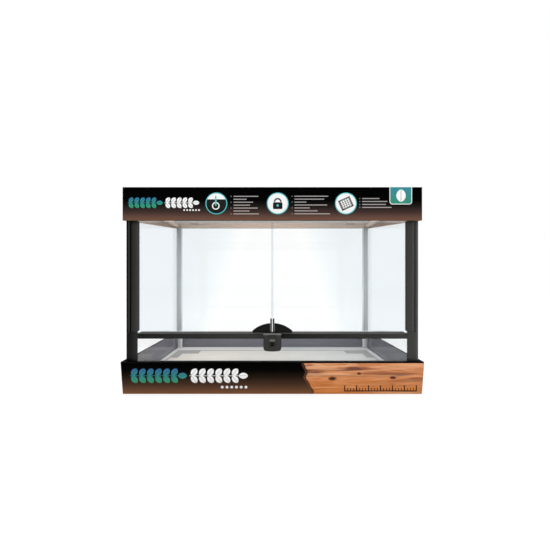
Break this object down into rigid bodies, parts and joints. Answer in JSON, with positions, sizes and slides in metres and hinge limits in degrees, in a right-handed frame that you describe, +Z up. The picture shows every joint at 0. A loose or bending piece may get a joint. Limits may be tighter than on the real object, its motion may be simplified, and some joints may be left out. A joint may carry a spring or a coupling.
{
  "type": "reptile terrarium",
  "caption": "Front-opening glass terrarium in black plastic frames, with hinged doors, a sliding door lock, a lift-off mesh lid and closable cable ports.",
  "frame": {"origin": "centre of the base's underside", "axes": "+X to the right seen from the doors, -Y out of the doors, +Z up"},
  "size_m": [0.51, 0.25, 0.3493],
  "materials": {
    "frame_plastic": "fine moulded grain",
    "post_plastic": "extruded, satin",
    "rail_plastic": "extruded, satin",
    "door_plastic": "satin",
    "lock_plastic": "fine moulded grain",
    "pad_plastic": "matt",
    "seal_rubber": "matt silicone",
    "gasket_foam": "closed-cell foam",
    "wall_glass": "clear float glass",
    "door_glass": "clear float glass, ground edges",
    "floor_glass": "clear float glass",
    "header_print": "printed card, silk coat",
    "base_print": "printed card, silk coat",
    "mesh_wire": "grey coated wire",
    "pin_steel": "turned steel"
  },
  "bodies": {
    "tank": {"base_frame": "frame_plastic", "floor_gasket": "gasket_foam", "floor_pane": "floor_glass", "support_pad_front_left": "pad_plastic", "support_pad_front_right": "pad_plastic", "support_pad_rear_left": "pad_plastic", "support_pad_rear_right": "pad_plastic", "left_pane": "wall_glass", "right_pane": "wall_glass", "rear_pane": "wall_glass", "lower_front_pane": "wall_glass", "post_front_left": "post_plastic", "post_front_right": "post_plastic", "post_rear_left": "post_plastic", "post_rear_right": "post_plastic", "corner_seal_rear_left": "seal_rubber", "corner_seal_rear_right": "seal_rubber", "sill_rail": "rail_plastic", "top_frame": "frame_plastic", "front_fascia": "frame_plastic", "header_card": "header_print", "base_card": "base_print", "lock_housing": "lock_plastic", "lock_screws": "pin_steel"},
    "door_left": {"door_pane_left": "door_glass", "door_stile_left": "door_plastic", "hinge_pin_upper_left": "pin_steel", "hinge_pin_lower_left": "pin_steel", "door_pull_left": "door_plastic", "edge_clip_left": "door_plastic"},
    "door_right": {"door_pane_right": "door_glass", "door_stile_right": "door_plastic", "hinge_pin_upper_right": "pin_steel", "hinge_pin_lower_right": "pin_steel", "door_pull_right": "door_plastic", "edge_clip_right": "door_plastic"},
    "lock_tongue": {"lock_slider": "lock_plastic"},
    "lid": {"lid_frame": "frame_plastic", "mesh_panel_1": "mesh_wire", "mesh_panel_2": "mesh_wire", "mesh_panel_3": "mesh_wire", "mesh_panel_4": "mesh_wire"},
    "shutter_left": {"cable_shutter_left": "frame_plastic"},
    "shutter_right": {"cable_shutter_right": "frame_plastic"}
  },
  "joints": [
    {"name": "door_left_swing", "type": "hinge", "parent": "tank", "child": "door_left", "pos_m": [-0.2391, -0.1141, 0.2], "axis": [0, 0, -1], "range_deg": [0, 105]},
    {"name": "door_right_swing", "type": "hinge", "parent": "tank", "child": "door_right", "pos_m": [0.2391, -0.1141, 0.2], "axis": [0, 0, 1], "range_deg": [0, 105]},
    {"name": "lock_slide", "type": "slide", "parent": "tank", "child": "lock_tongue", "axis": [0, 0, 1], "range_m": [0, 0.007]},
    {"name": "lid_lift", "type": "slide", "parent": "tank", "child": "lid", "axis": [0, 0, 1], "range_m": [0, 0.08]},
    {"name": "shutter_left_slide", "type": "slide", "parent": "tank", "child": "shutter_left", "axis": [-1, 0, 0], "range_m": [0, 0.028]},
    {"name": "shutter_right_slide", "type": "slide", "parent": "tank", "child": "shutter_right", "axis": [1, 0, 0], "range_m": [0, 0.028]}
  ]
}
